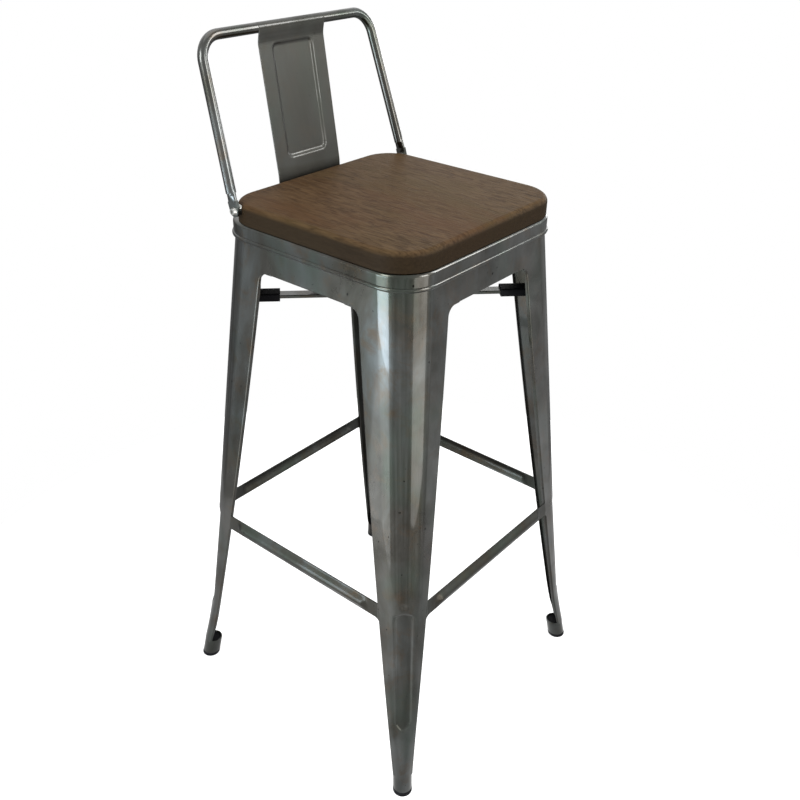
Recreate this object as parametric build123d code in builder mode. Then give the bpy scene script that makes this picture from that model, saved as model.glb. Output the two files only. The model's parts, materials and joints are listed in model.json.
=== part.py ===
from build123d import *
import math
import os

# A 30 inch bar stool: four pressed sheet-steel legs, a pressed seat frame, a footrest ring,
# a diagonal brace with rubber stacking pads, a wooden seat and a low tube-and-splat back.
# Millimetres. +Z is up, the front faces -Y, the origin is on the floor under the stool's middle.

# Seat
SEAT_TOP = 762.0
WOOD_THICK = 25.0
WOOD_HALF_X = 155.9
WOOD_FRONT_Y = -154.0
WOOD_REAR_Y = 142.0
WOOD_CORNER_FRONT = 52.0
WOOD_CORNER_REAR = 46.0
WOOD_ROUND_TOP = 8.0
WOOD_ROUND_BOTTOM = 1.5

# Seat frame: a shallow tray turned upside down, with a bead round its lower edge
FRAME_TOP = SEAT_TOP - WOOD_THICK
FRAME_HALF = 155.2
FRAME_CORNER = 48.0
FRAME_BOTTOM = 715.5
FRAME_OPENING_HALF = 112.0
FRAME_OPENING_CORNER = 30.0
BEAD_HEIGHT = 4.0
BEAD_OUT = 1.2

SHEET = 1.5
JOINT_GAP = 0.1

# Legs: an open channel with a rounded outer corner and folded lips, leaning outwards
LEG_TOP = 734.0
LEG_REF_Z = 720.0
LEG_REF_OUT = 152.8
LEG_LEAN = 0.0815
KICK_Z = 110.0
KICK_CURVE = 0.000374
LEG_CORNER_AT = ((30.0, 13.3), (35.0, 13.3), (110.0, 25.0), (296.0, 35.0), (720.0, 46.0), (740.0, 46.5))
LEG_WIDTH_AT = ((46.0, 22.3), (302.0, 48.0), (640.0, 73.0))
LEG_BOTTOM = 30.0
LIP_DEPTH = 5.0
LIP_DEPTH_ENDS = 3.0
LIP_ROUND = 2.0

# Apron band below the seat frame, shared by the leg tops and the plates between them
APRON_BOTTOM = 683.0
APRON_LEG_WIDTH = 96.0
APRON_FILLET = 12.0
APRON_LIP = 7.0

# Feet
FOOT_RADIUS = 13.3
COLLAR_RADIUS = 13.1
COLLAR_WALL = 1.8
COLLAR_TOP = 32.0
COLLAR_BOTTOM = 5.0
FOOT_STEM_TOP = 30.0

# Footrest rails: strips with a pressed ridge and flat ends
RAIL_TOP = 296.0
RAIL_BOTTOM = 274.0
RAIL_BULGE = 5.0
RAIL_FLAT_BULGE = 0.2
RAIL_FLAT_LENGTH = 16.0
RAIL_BLEND_LENGTH = 12.0

# Diagonal brace and its rubber pads
BRACE_BOTTOM = 626.5
BRACE_THICK = 4.5
BRACE_WIDTH = 16.0
BRACE_HALF_LENGTH = 205.6
PAD_START = 146.0
PAD_LENGTH = 36.0
PAD_WIDTH = 22.0
PAD_HEIGHT = 11.0

# Backrest: the tube lies in one plane that leans back
BACK_REF_Y = 116.6
BACK_REF_Z = 760.0
BACK_RAKE = 0.303
TUBE_RADIUS = 6.35
TUBE_WALL = 1.5
TUBE_TOP_Z = 945.3
TUBE_HALF_TOP = 145.8
TUBE_HALF_BASE = 158.8
TUBE_BEND = 30.0
TUBE_END_V = 20.0
TAB_TOP_V = 6.0
TAB_THICK = 4.6
TAB_WIDTH = 14.5
TAB_INNER_X = 156.2
BOLT_Z = 754.0

# Splat
SPLAT_HALF = 57.0
SPLAT_BASE_Y = WOOD_REAR_Y + 1.3
SPLAT_BEND_Z = SEAT_TOP + 4.0
SPLAT_TOP_FLAT_Z = 925.0
SPLAT_TOP_FLAT_Y = 169.0
SPLAT_FOOT_Y = 119.0
SPLAT_FOOT_BEND = 1.6
SPLAT_TOP_Z = 943.5
SPLAT_PANEL_WIDTH = 66.0
SPLAT_PANEL_Z = (790.0, 925.0)
SPLAT_PANEL_DEPTH = 2.5
SPLAT_PANEL_CORNER = 8.0

# Fasteners
BOLT_RADIUS = 3.0
BOLT_HEAD_RADIUS = 5.2
BOLT_HEAD_HEIGHT = 3.4
INSERT_RADIUS = 4.6
INSERT_LENGTH = 17.0
SPACER_RADIUS = 6.6
SPACER_SEAT_X = 151.0
SCREW_RADIUS = 2.1
SCREW_HEAD_RADIUS = 5.0
SCREW_HEAD_HEIGHT = 2.4
SCREW_TIP_Z = 752.0
SEAT_SCREWS = ((-118.0, -126.0), (118.0, -126.0), (-118.0, 112.0), (118.0, 112.0))
SPLAT_SCREWS = ((-35.0, 129.0), (35.0, 129.0))

CORNERS = {"front_left": (-1, -1), "front_right": (1, -1), "rear_left": (-1, 1), "rear_right": (1, 1)}
SIDES = {"front": (0, -1), "right": (1, 0), "rear": (0, 1), "left": (-1, 0)}

os.makedirs("parts", exist_ok=True)


def save(builder, name):
    """Label a finished piece and write it as its own STEP file."""
    builder.part.label = name
    export_step(builder.part, f"parts/{name}.step")


def between(table, z):
    """Straight-line interpolation in a table of (height, value) rows."""
    for (z0, v0), (z1, v1) in zip(table, table[1:]):
        if z <= z1:
            return v0 + (v1 - v0) * (z - z0) / (z1 - z0)
    return table[-1][1]


def leg_out(z):
    """Distance of the legs' outer faces from the stool's middle plane at a height."""
    lean = LEG_REF_OUT + LEG_LEAN * (LEG_REF_Z - z)
    if z < KICK_Z:
        lean += KICK_CURVE * (KICK_Z - z) ** 2
    return lean


def flange_width(z):
    """Width of a leg's flange, measured from the sharp outer corner: a parabola through three widths."""
    (z0, w0), (z1, w1), (z2, w2) = LEG_WIDTH_AT
    slope_low = (w1 - w0) / (z1 - z0)
    slope_high = (w2 - w1) / (z2 - z1)
    bend = (slope_high - slope_low) / (z2 - z0)
    return w0 + slope_low * (z - z0) + bend * (z - z0) * (z - z1)


def leg_levels():
    """Heights and flange widths of the leg's cross-sections, from the top down."""
    levels = [(LEG_TOP, APRON_LEG_WIDTH), (APRON_BOTTOM, APRON_LEG_WIDTH)]
    for drop in (0.2, 1.0, 2.5, 4.5, 7.5, APRON_FILLET):
        flare = APRON_FILLET - math.sqrt(APRON_FILLET**2 - (APRON_FILLET - drop) ** 2)
        z = APRON_BOTTOM - drop
        levels.append((z, flange_width(z) + flare))
    for z in (640, 590, 540, 480, 420, 360, 300, 240, 190, 150, KICK_Z, 90, 70, 50, 40, LEG_BOTTOM):
        levels.append((z, flange_width(z)))
    return levels


def leg_section(z, width, sx, sy):
    """One cross-section of a leg: an L-shaped strip with a round corner and two folded lips."""
    out = leg_out(z)
    corner = between(LEG_CORNER_AT, z)
    lip = LIP_DEPTH if LEG_BOTTOM + 20 < z < APRON_BOTTOM - APRON_FILLET else LIP_DEPTH_ENDS
    edge = out - width
    inner = out - SHEET
    k = math.sqrt(0.5)
    corner_mid = out - corner + corner * k
    inner_mid = out - corner + (corner - SHEET) * k
    lip_mid = LIP_ROUND * (1 - k)

    def place(x, y):
        return (sx * x, sy * y)

    with BuildSketch(Plane.XY.offset(z)) as section:
        with BuildLine():
            Line(place(edge + LIP_ROUND, out), place(out - corner, out))
            ThreePointArc(place(out - corner, out), place(corner_mid, corner_mid), place(out, out - corner))
            Line(place(out, out - corner), place(out, edge + LIP_ROUND))
            ThreePointArc(
                place(out, edge + LIP_ROUND), place(out - lip_mid, edge + lip_mid), place(out - LIP_ROUND, edge)
            )
            Line(place(out - LIP_ROUND, edge), place(out - lip, edge))
            Line(place(out - lip, edge), place(out - lip, edge + SHEET))
            Line(place(out - lip, edge + SHEET), place(inner, edge + SHEET))
            Line(place(inner, edge + SHEET), place(inner, out - corner))
            ThreePointArc(place(inner, out - corner), place(inner_mid, inner_mid), place(out - corner, inner))
            Line(place(out - corner, inner), place(edge + SHEET, inner))
            Line(place(edge + SHEET, inner), place(edge + SHEET, out - lip))
            Line(place(edge + SHEET, out - lip), place(edge, out - lip))
            Line(place(edge, out - lip), place(edge, out - LIP_ROUND))
            ThreePointArc(
                place(edge, out - LIP_ROUND), place(edge + lip_mid, out - lip_mid), place(edge + LIP_ROUND, out)
            )
        make_face()
    return section.sketch


def foot_centre(z):
    """Centre line of the round foot, which carries the leg's splay down to the floor."""
    return leg_out(z) - FOOT_RADIUS


def build_legs():
    for name, (sx, sy) in CORNERS.items():
        with BuildPart() as leg:
            loft([leg_section(z, width, sx, sy) for z, width in leg_levels()], ruled=True)
            for radius, mode in ((COLLAR_RADIUS, Mode.ADD), (COLLAR_RADIUS - COLLAR_WALL, Mode.SUBTRACT)):
                rings = []
                for z in (COLLAR_TOP, COLLAR_BOTTOM):
                    with BuildSketch(Plane.XY.offset(z)) as ring:
                        with Locations((sx * foot_centre(z), sy * foot_centre(z))):
                            Circle(radius)
                    rings.append(ring.sketch)
                loft(rings, ruled=True, mode=mode)
        save(leg, f"leg_{name}")


def build_feet():
    for name, (sx, sy) in CORNERS.items():
        with BuildPart() as foot:
            stem = COLLAR_RADIUS - COLLAR_WALL - JOINT_GAP
            levels = (
                ((0.0, FOOT_RADIUS - 0.8), (1.0, FOOT_RADIUS), (COLLAR_BOTTOM, FOOT_RADIUS)),
                ((COLLAR_BOTTOM, stem), (FOOT_STEM_TOP, stem)),
            )
            for run in levels:
                rings = []
                for z, radius in run:
                    with BuildSketch(Plane.XY.offset(z)) as ring:
                        with Locations((sx * foot_centre(z), sy * foot_centre(z))):
                            Circle(radius)
                    rings.append(ring.sketch)
                loft(rings, ruled=True)
        save(foot, f"foot_{name}")


def build_seat():
    mid_y = (WOOD_FRONT_Y + WOOD_REAR_Y) / 2
    with BuildPart() as seat:
        with BuildSketch(Plane.XY.offset(FRAME_TOP)) as outline:
            with Locations((0, mid_y)):
                Rectangle(2 * WOOD_HALF_X, WOOD_REAR_Y - WOOD_FRONT_Y)
            fillet(outline.vertices().group_by(Axis.Y)[0], WOOD_CORNER_FRONT)
            fillet(outline.vertices().group_by(Axis.Y)[-1], WOOD_CORNER_REAR)
        extrude(amount=WOOD_THICK)
        fillet(seat.faces().sort_by(Axis.Z)[-1].edges(), WOOD_ROUND_TOP)
        fillet(seat.faces().sort_by(Axis.Z)[0].edges(), WOOD_ROUND_BOTTOM)
        # Rebate for the splat's foot
        with BuildSketch(Plane.XY.offset(FRAME_TOP)):
            with Locations((0, (SPLAT_FOOT_Y + WOOD_REAR_Y) / 2)):
                Rectangle(2 * SPLAT_HALF + 2, WOOD_REAR_Y - SPLAT_FOOT_Y + 2)
        extrude(amount=SHEET + 0.6, mode=Mode.SUBTRACT)
        # Pilot holes from below
        with BuildSketch(Plane.XY.offset(FRAME_TOP)):
            with Locations(*SEAT_SCREWS, *SPLAT_SCREWS):
                Circle(SCREW_RADIUS + JOINT_GAP / 2)
        extrude(amount=SCREW_TIP_Z - FRAME_TOP + 1, mode=Mode.SUBTRACT)
        # Threaded inserts and spot faces for the backrest bolts
        for side in (-1, 1):
            hole_plane = Plane(origin=(side * SPACER_SEAT_X, bolt_y(), BOLT_Z), z_dir=(side, 0, 0))
            with BuildSketch(hole_plane):
                Circle(SPACER_RADIUS + 0.3)
            extrude(amount=12, mode=Mode.SUBTRACT)
            with BuildSketch(hole_plane):
                Circle(INSERT_RADIUS + JOINT_GAP / 2)
            extrude(amount=-INSERT_LENGTH - 2, mode=Mode.SUBTRACT)
    save(seat, "wood_seat")


def build_frame():
    grown = FRAME_HALF + BEAD_OUT
    with BuildPart() as bead:
        with BuildSketch(Plane.XY.offset(FRAME_BOTTOM)):
            RectangleRounded(2 * grown, 2 * grown, FRAME_CORNER + BEAD_OUT)
        extrude(amount=BEAD_HEIGHT)
        fillet(bead.edges().filter_by(Axis.Z, reverse=True), BEAD_OUT * 0.95)

    with BuildPart() as frame:
        with BuildSketch(Plane.XY.offset(FRAME_BOTTOM)):
            RectangleRounded(2 * FRAME_HALF, 2 * FRAME_HALF, FRAME_CORNER)
        extrude(amount=FRAME_TOP - FRAME_BOTTOM)
        fillet(frame.faces().sort_by(Axis.Z)[-1].edges(), 2.5)
        add(bead.part)
        with BuildSketch(Plane.XY.offset(FRAME_BOTTOM)):
            hollow = FRAME_HALF - SHEET
            RectangleRounded(2 * hollow, 2 * hollow, FRAME_CORNER - SHEET)
        extrude(amount=FRAME_TOP - FRAME_BOTTOM - SHEET, mode=Mode.SUBTRACT)
        with BuildSketch(Plane.XY.offset(FRAME_TOP)):
            RectangleRounded(2 * FRAME_OPENING_HALF, 2 * FRAME_OPENING_HALF, FRAME_OPENING_CORNER)
        extrude(amount=-2 * SHEET, mode=Mode.SUBTRACT)
        with BuildSketch(Plane.XY.offset(FRAME_TOP)):
            with Locations(*SEAT_SCREWS, *SPLAT_SCREWS):
                Circle(SCREW_RADIUS + 0.3)
        extrude(amount=-2 * SHEET, mode=Mode.SUBTRACT)
    save(frame, "seat_frame")


def build_aprons():
    for name, (ox, oy) in SIDES.items():
        turn = math.degrees(math.atan2(oy, ox)) + 90
        with BuildPart() as apron:
            bands = []
            for z in (APRON_BOTTOM, LEG_TOP):
                half = leg_out(z) - APRON_LEG_WIDTH - JOINT_GAP
                with BuildSketch(Plane.XY.offset(z).rotated((0, 0, turn))) as band:
                    with Locations((0, -leg_out(z) + SHEET / 2)):
                        Rectangle(2 * half, SHEET)
                bands.append(band.sketch)
            loft(bands, ruled=True)
            half = leg_out(APRON_BOTTOM) - APRON_LEG_WIDTH - JOINT_GAP
            with BuildSketch(Plane.XY.offset(APRON_BOTTOM).rotated((0, 0, turn))):
                with Locations((0, -leg_out(APRON_BOTTOM) + APRON_LIP / 2 + 0.4)):
                    Rectangle(2 * half - 2, APRON_LIP)
            extrude(amount=SHEET)
        save(apron, f"apron_{name}")


def build_rails():
    mid_z = (RAIL_TOP + RAIL_BOTTOM) / 2
    half = leg_out(mid_z) - flange_width(mid_z)
    stations = (
        (half + 6, RAIL_FLAT_BULGE),
        (half - RAIL_FLAT_LENGTH, RAIL_FLAT_BULGE),
        (half - RAIL_FLAT_LENGTH - RAIL_BLEND_LENGTH, RAIL_BULGE),
    )
    stations += tuple((-along, bulge) for along, bulge in reversed(stations))
    for name, (ox, oy) in SIDES.items():
        outward = Vector(ox, oy, 0)
        along_dir = outward.cross(Vector(0, 0, 1))
        with BuildPart() as rail:
            sections = []
            for along, bulge in stations:
                station = Plane(origin=along_dir * along, x_dir=outward, z_dir=along_dir)
                with BuildSketch(station) as section:
                    with BuildLine():
                        top = (leg_out(RAIL_TOP), RAIL_TOP)
                        low = (leg_out(RAIL_BOTTOM), RAIL_BOTTOM)
                        crest = (leg_out(mid_z) + bulge, mid_z)
                        ThreePointArc(top, crest, low)
                        Line(low, (low[0] - SHEET, low[1]))
                        ThreePointArc(
                            (low[0] - SHEET, low[1]), (crest[0] - SHEET, mid_z), (top[0] - SHEET, top[1])
                        )
                        Line((top[0] - SHEET, top[1]), top)
                    make_face()
                sections.append(section.sketch)
            loft(sections, ruled=True)
            for side in (-1, 1):
                top_edge = leg_out(RAIL_TOP) - flange_width(RAIL_TOP) - JOINT_GAP
                low_edge = leg_out(RAIL_BOTTOM) - flange_width(RAIL_BOTTOM) - JOINT_GAP
                corner = along_dir * (side * low_edge) + Vector(0, 0, RAIL_BOTTOM)
                slant = along_dir * (side * (top_edge - low_edge)) + Vector(0, 0, RAIL_TOP - RAIL_BOTTOM)
                away = slant.cross(outward).normalized() * side
                if away.dot(along_dir * side) < 0:
                    away = away * -1
                end_plane = Plane(origin=corner, x_dir=outward, z_dir=away)
                split(bisect_by=end_plane, keep=Keep.BOTTOM)
        save(rail, f"footrest_{name}")


def build_braces():
    lap = BRACE_THICK / 2
    for name, turn, cut_from in (("left_right", -45, 0.0), ("front_rear", 45, lap)):
        with BuildPart() as brace:
            with BuildSketch(Plane.XY.offset(BRACE_BOTTOM).rotated((0, 0, turn))):
                Rectangle(2 * BRACE_HALF_LENGTH, BRACE_WIDTH)
            extrude(amount=BRACE_THICK)
            along = Vector(math.cos(math.radians(turn)), math.sin(math.radians(turn)), 0)
            long_edges = [
                e for e in brace.edges() if e.length > BRACE_HALF_LENGTH and abs((e % 0.5).dot(along)) > 0.99
            ]
            fillet(long_edges, 1.2)
            with BuildSketch(Plane.XY.offset(BRACE_BOTTOM + cut_from).rotated((0, 0, turn))):
                Rectangle(BRACE_WIDTH + 2 * JOINT_GAP, BRACE_WIDTH + 2)
            extrude(amount=lap, mode=Mode.SUBTRACT)
        save(brace, f"brace_{name}")


def build_pads():
    mid_z = BRACE_BOTTOM + BRACE_THICK / 2
    for name, (sx, sy) in CORNERS.items():
        outward = Vector(sx, sy, 0).normalized()
        start = Plane(
            origin=outward * PAD_START + Vector(0, 0, mid_z),
            x_dir=outward.cross(Vector(0, 0, 1)),
            z_dir=outward,
        )
        with BuildPart() as pad:
            with BuildSketch(start):
                RectangleRounded(PAD_WIDTH, PAD_HEIGHT, 2.5)
                Rectangle(BRACE_WIDTH + JOINT_GAP, BRACE_THICK + JOINT_GAP, mode=Mode.SUBTRACT)
            extrude(amount=PAD_LENGTH)
        save(pad, f"pad_{name}")


def back_point(x, v):
    """A point of the backrest's plane: v runs up the slope from the reference height."""
    rise = v / math.sqrt(1 + BACK_RAKE**2)
    return Vector(x, BACK_REF_Y + BACK_RAKE * rise, BACK_REF_Z + rise)


def slope_length(z):
    """Distance up the backrest's plane of a height above the floor."""
    return (z - BACK_REF_Z) * math.sqrt(1 + BACK_RAKE**2)


def bolt_y():
    return BACK_REF_Y + BACK_RAKE * (BOLT_Z - BACK_REF_Z)


def build_backrest_tube():
    up = (back_point(0, 1) - back_point(0, 0)).normalized()
    plane = Plane(origin=back_point(0, 0), x_dir=(1, 0, 0), z_dir=Vector(1, 0, 0).cross(up))
    top_v = slope_length(TUBE_TOP_Z)
    end_x = TUBE_HALF_BASE - (TUBE_HALF_BASE - TUBE_HALF_TOP) * TUBE_END_V / top_v
    tab_mid_x = TAB_INNER_X + TAB_THICK / 2
    with BuildPart() as tube:
        with BuildLine(plane) as route:
            FilletPolyline(
                (-end_x, TUBE_END_V),
                (-TUBE_HALF_TOP, top_v),
                (TUBE_HALF_TOP, top_v),
                (end_x, TUBE_END_V),
                radius=TUBE_BEND,
            )
        with BuildSketch(Plane(origin=route.line @ 0, z_dir=route.line % 0)):
            Circle(TUBE_RADIUS)
            Circle(TUBE_RADIUS - TUBE_WALL, mode=Mode.SUBTRACT)
        sweep()
        for side in (-1, 1):
            start = route.line @ 0 if side < 0 else route.line @ 1
            heading = (route.line % 0) * -1 if side < 0 else route.line % 1
            with BuildSketch(Plane(origin=start, x_dir=(1, 0, 0), z_dir=heading)) as round_end:
                Circle(TUBE_RADIUS)
            with BuildSketch(
                Plane(origin=back_point(side * tab_mid_x, TAB_TOP_V), x_dir=(1, 0, 0), z_dir=up * -1)
            ) as flat_end:
                RectangleRounded(TAB_THICK, TAB_WIDTH, TAB_THICK * 0.45)
            loft([round_end.sketch, flat_end.sketch])
            tab_plane = Plane(
                origin=back_point(side * TAB_INNER_X, 0),
                x_dir=Vector(1, 0, 0).cross(up) * (-side),
                z_dir=(side, 0, 0),
            )
            bolt_v = slope_length(BOLT_Z)
            with BuildSketch(tab_plane):
                with Locations((0, (bolt_v + TAB_TOP_V) / 2)):
                    Rectangle(TAB_WIDTH, TAB_TOP_V - bolt_v)
                with Locations((0, bolt_v)):
                    Circle(TAB_WIDTH / 2)
                    Circle(BOLT_RADIUS + 0.3, mode=Mode.SUBTRACT)
            extrude(amount=TAB_THICK)
    save(tube, "backrest_tube")


def build_splat():
    tube_y = back_point(0, slope_length(TUBE_TOP_Z)).Y
    foot_z = FRAME_TOP + SHEET / 2 + 0.1
    bend = SPLAT_FOOT_BEND
    flat_start = (SPLAT_BASE_Y, SPLAT_BEND_Z)
    flat_end = (SPLAT_TOP_FLAT_Y, SPLAT_TOP_FLAT_Z)
    lean = Vector(0, flat_end[0] - flat_start[0], flat_end[1] - flat_start[1]).normalized()
    with BuildPart() as splat:
        with BuildSketch(Plane.YZ.offset(-SPLAT_HALF)):
            with BuildLine() as strip:
                Line((SPLAT_FOOT_Y, foot_z), (SPLAT_BASE_Y - bend, foot_z))
                RadiusArc((SPLAT_BASE_Y - bend, foot_z), (SPLAT_BASE_Y, foot_z + bend), -bend)
                Line((SPLAT_BASE_Y, foot_z + bend), flat_start)
                Line(flat_start, flat_end)
                Spline(
                    flat_end,
                    (tube_y - TUBE_RADIUS + SHEET / 2, SPLAT_TOP_Z),
                    tangents=((lean.Y, lean.Z), (0, 1)),
                )
            trace(strip.line, line_width=SHEET)
        extrude(amount=2 * SPLAT_HALF)
        # The top edge is hollowed to fit against the front of the tube
        with BuildSketch(Plane.YZ.offset(-SPLAT_HALF - 1)):
            with Locations((tube_y, TUBE_TOP_Z)):
                Circle(TUBE_RADIUS + JOINT_GAP)
        extrude(amount=2 * SPLAT_HALF + 2, mode=Mode.SUBTRACT)
        # Pressed panel: pushed backwards by its depth, with sloping sides
        panel_z = sum(SPLAT_PANEL_Z) / 2
        reach = (panel_z - flat_start[1]) / (flat_end[1] - flat_start[1])
        panel_y = flat_start[0] + reach * (flat_end[0] - flat_start[0])
        height = (SPLAT_PANEL_Z[1] - SPLAT_PANEL_Z[0]) / lean.Z
        back_dir = Vector(1, 0, 0).cross(lean) * -1
        face_mid = Vector(0, panel_y, panel_z)
        for shift, grow, mode in (
            (SHEET / 2 - 0.05, 0.0, Mode.ADD),
            (-SHEET / 2 - 0.05, -SHEET * 0.4, Mode.SUBTRACT),
        ):
            panel_plane = Plane(origin=face_mid + back_dir * shift, x_dir=(1, 0, 0), z_dir=back_dir)
            with BuildSketch(panel_plane):
                RectangleRounded(SPLAT_PANEL_WIDTH + 2 * grow, height + 2 * grow, SPLAT_PANEL_CORNER)
            extrude(amount=SPLAT_PANEL_DEPTH, taper=50, mode=mode)
        with BuildSketch(Plane.XY.offset(FRAME_TOP - 1)):
            with Locations(*SPLAT_SCREWS):
                Circle(SCREW_RADIUS + 0.3)
        extrude(amount=4, mode=Mode.SUBTRACT)
    save(splat, "back_splat")


def build_backrest_fixings():
    tab_outer_x = TAB_INNER_X + TAB_THICK
    with BuildPart() as bolts:
        for side in (-1, 1):
            face = Plane(origin=(side * (tab_outer_x + 0.05), bolt_y(), BOLT_Z), z_dir=(side, 0, 0))
            with BuildSketch(face):
                Circle(BOLT_HEAD_RADIUS)
            extrude(amount=BOLT_HEAD_HEIGHT, taper=22)
            with BuildSketch(face):
                Circle(BOLT_RADIUS)
            extrude(amount=-(tab_outer_x - SPACER_SEAT_X + INSERT_LENGTH - 2))
            with BuildSketch(face.offset(BOLT_HEAD_HEIGHT)):
                RegularPolygon(2.2, 6)
            extrude(amount=-2.2, mode=Mode.SUBTRACT)
    save(bolts, "backrest_bolts")

    with BuildPart() as spacers:
        for side in (-1, 1):
            with BuildSketch(Plane(origin=(side * SPACER_SEAT_X, bolt_y(), BOLT_Z), z_dir=(side, 0, 0))):
                Circle(SPACER_RADIUS)
                Circle(BOLT_RADIUS + 0.3, mode=Mode.SUBTRACT)
            extrude(amount=TAB_INNER_X - SPACER_SEAT_X - 0.05)
    save(spacers, "backrest_spacers")

    with BuildPart() as inserts:
        for side in (-1, 1):
            with BuildSketch(Plane(origin=(side * SPACER_SEAT_X, bolt_y(), BOLT_Z), z_dir=(side, 0, 0))):
                Circle(INSERT_RADIUS)
                Circle(BOLT_RADIUS + JOINT_GAP / 2, mode=Mode.SUBTRACT)
            extrude(amount=-INSERT_LENGTH)
    save(inserts, "backrest_inserts")


def build_screws(name, places):
    """Pan-head wood screws driven upwards through the seat frame's flange."""
    with BuildPart() as screws:
        head_top = FRAME_TOP - SHEET - 0.05
        with BuildSketch(Plane.XY.offset(head_top)):
            with Locations(*places):
                Circle(SCREW_HEAD_RADIUS)
        extrude(amount=-SCREW_HEAD_HEIGHT, taper=20)
        with BuildSketch(Plane.XY.offset(head_top)):
            with Locations(*places):
                Circle(SCREW_RADIUS)
        extrude(amount=SCREW_TIP_Z - head_top)
    save(screws, name)


build_legs()
build_feet()
build_seat()
build_frame()
build_aprons()
build_rails()
build_braces()
build_pads()
build_backrest_tube()
build_splat()
build_backrest_fixings()
build_screws("seat_screws", SEAT_SCREWS)
build_screws("splat_screws", SPLAT_SCREWS)
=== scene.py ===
import bmesh
import bpy
import json
import math
from mathutils import Matrix, Vector


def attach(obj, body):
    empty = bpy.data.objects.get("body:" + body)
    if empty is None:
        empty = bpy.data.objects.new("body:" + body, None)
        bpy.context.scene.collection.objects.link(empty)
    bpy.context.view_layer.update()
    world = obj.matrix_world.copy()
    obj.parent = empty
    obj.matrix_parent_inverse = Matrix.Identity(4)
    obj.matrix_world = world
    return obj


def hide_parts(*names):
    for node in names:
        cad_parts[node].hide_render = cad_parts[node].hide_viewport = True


# A bar stool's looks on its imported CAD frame: pressed steel legs, rails, backrest, wood and rubber.
# The stool's sizes and the camera's place are in millimetres, and the studio's floor and lights in metres.

MM = 0.001

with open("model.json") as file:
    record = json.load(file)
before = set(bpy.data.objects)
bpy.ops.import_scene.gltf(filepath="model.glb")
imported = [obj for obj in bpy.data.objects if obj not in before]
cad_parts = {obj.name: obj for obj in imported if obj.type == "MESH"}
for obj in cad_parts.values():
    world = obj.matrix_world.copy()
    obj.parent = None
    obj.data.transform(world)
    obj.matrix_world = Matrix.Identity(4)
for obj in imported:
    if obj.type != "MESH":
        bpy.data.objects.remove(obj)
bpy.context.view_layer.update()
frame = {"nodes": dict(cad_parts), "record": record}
nodes = frame["nodes"]

CORNERS = {"front_left": (-1, -1), "front_right": (1, -1), "rear_left": (-1, 1), "rear_right": (1, 1)}
SIDES = {"front": (0, -1), "right": (1, 0), "rear": (0, 1), "left": (-1, 0)}

# Camera: where it stands, where it looks in degrees, and the focal length and width of its film
CAMERA_PLACE = (-884.8, -741.7, 1140.8)
CAMERA_YAW = 50.757
CAMERA_PITCH = -30.388
CAMERA_ROLL = 1.124
CAMERA_LENS = 42.65
CAMERA_FILM = 36.0

# Floor and sky. The sky begins to blend in at one elevation in degrees and is full at the other.
FLOOR_RADIUS = 0.8
FLOOR_STEPS = 96
SKY_LEVEL = 1.10
SKY_FROM = -6.0
SKY_FULL = 26.0

# The room below the sky: how bright it is at each bearing in degrees, counted from +X towards +Y
SURROUNDINGS = (
    (-180.0, 1.15), (-125.0, 1.00), (-98.0, 0.55), (-70.0, 0.55), (-45.0, 0.80), (-37.0, 0.76), (-27.0, 0.46),
    (-12.0, 0.34), (10.0, 0.14), (100.0, 0.18), (126.0, 0.47), (141.0, 0.66), (160.0, 1.10), (180.0, 1.15),
)

# Lights, in metres: name, where it hangs, where it points, width and height, radiance, colour
WHITE = (1.0, 1.0, 1.0)
LIGHTS = (
    ("key_left", (-2.05, 0.50, 0.30), (-0.15, -0.15, 0.30), (1.30, 0.64), 12.5, (0.77, 0.89, 1.0)),
    ("key_spill", (-2.05, 0.55, -0.42), (-0.15, -0.15, -0.42), (1.35, 0.76), 2.6, (0.95, 0.99, 1.0)),
    ("key_high", (-2.00, 0.30, 1.80), (-0.15, -0.15, 0.75), (0.80, 1.20), 13.0, WHITE),
    ("line_right", (1.49, -1.40, 1.78), (0.0, -0.15, 0.75), (0.50, 1.25), 12.0, WHITE),
    ("edge_rear", (1.75, 0.65, 0.80), (0.0, 0.15, 0.85), (1.50, 0.45), 4.5, WHITE),
    ("rim_right", (0.25, -2.35, 1.55), (-0.15, -0.15, 0.75), (0.80, 1.20), 13.0, WHITE),
    ("card_right", (-0.08, -2.40, 0.10), (-0.15, -0.15, 0.10), (1.74, 1.50), 3.1, (1.0, 0.97, 0.93)),
    ("top", (0.30, 0.40, 2.90), (0.0, 0.0, 0.50), (1.80, 1.80), 1.2, WHITE),
)

# Meshes: edges sharper than this many degrees stay crisp, and points closer than this are joined
SHARP_ANGLE = 38.0
WELD_DISTANCE = 0.002

# Sheet metal of the legs, aprons, frame, rails and splat, and the steps in each rounded bend of it
SHEET = 1.5
BEND_STEPS = 12

# Legs: their outer faces lean, and kick out along a parabola near the floor. The tables give the corner's
# radius and the flange's width at some heights.
LEG_TOP = 734.0
LEG_REF_Z = 720.0
LEG_REF_OUT = 152.8
LEG_LEAN = 0.0815
KICK_Z = 110.0
KICK_CURVE = 0.000374
LEG_CORNER_AT = ((30.0, 13.3), (35.0, 13.3), (110.0, 25.0), (296.0, 35.0), (720.0, 46.0), (740.0, 46.5))
LEG_WIDTH_AT = ((46.0, 22.3), (302.0, 48.0), (640.0, 73.0))
LEG_BOTTOM = 30.0
LEG_STEPS = 74
FINE_STEP = 1.2

# The legs' folded lips, which get shallower at both ends
LIP_DEPTH = 5.0
LIP_DEPTH_ENDS = 3.0
LIP_ROUND = 2.0
LIP_FROM = 55.0
LIP_EASE = 12.0
SMALL_ROUND = 0.4

# Aprons: plates and the wide tops of the legs, with a fillet where each leg starts
APRON_BOTTOM = 683.0
APRON_LEG_WIDTH = 96.0
APRON_FILLET = 12.0
APRON_LIP = 7.0
APRON_OVERLAP = 2.0
APRON_STEPS = 24

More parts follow.
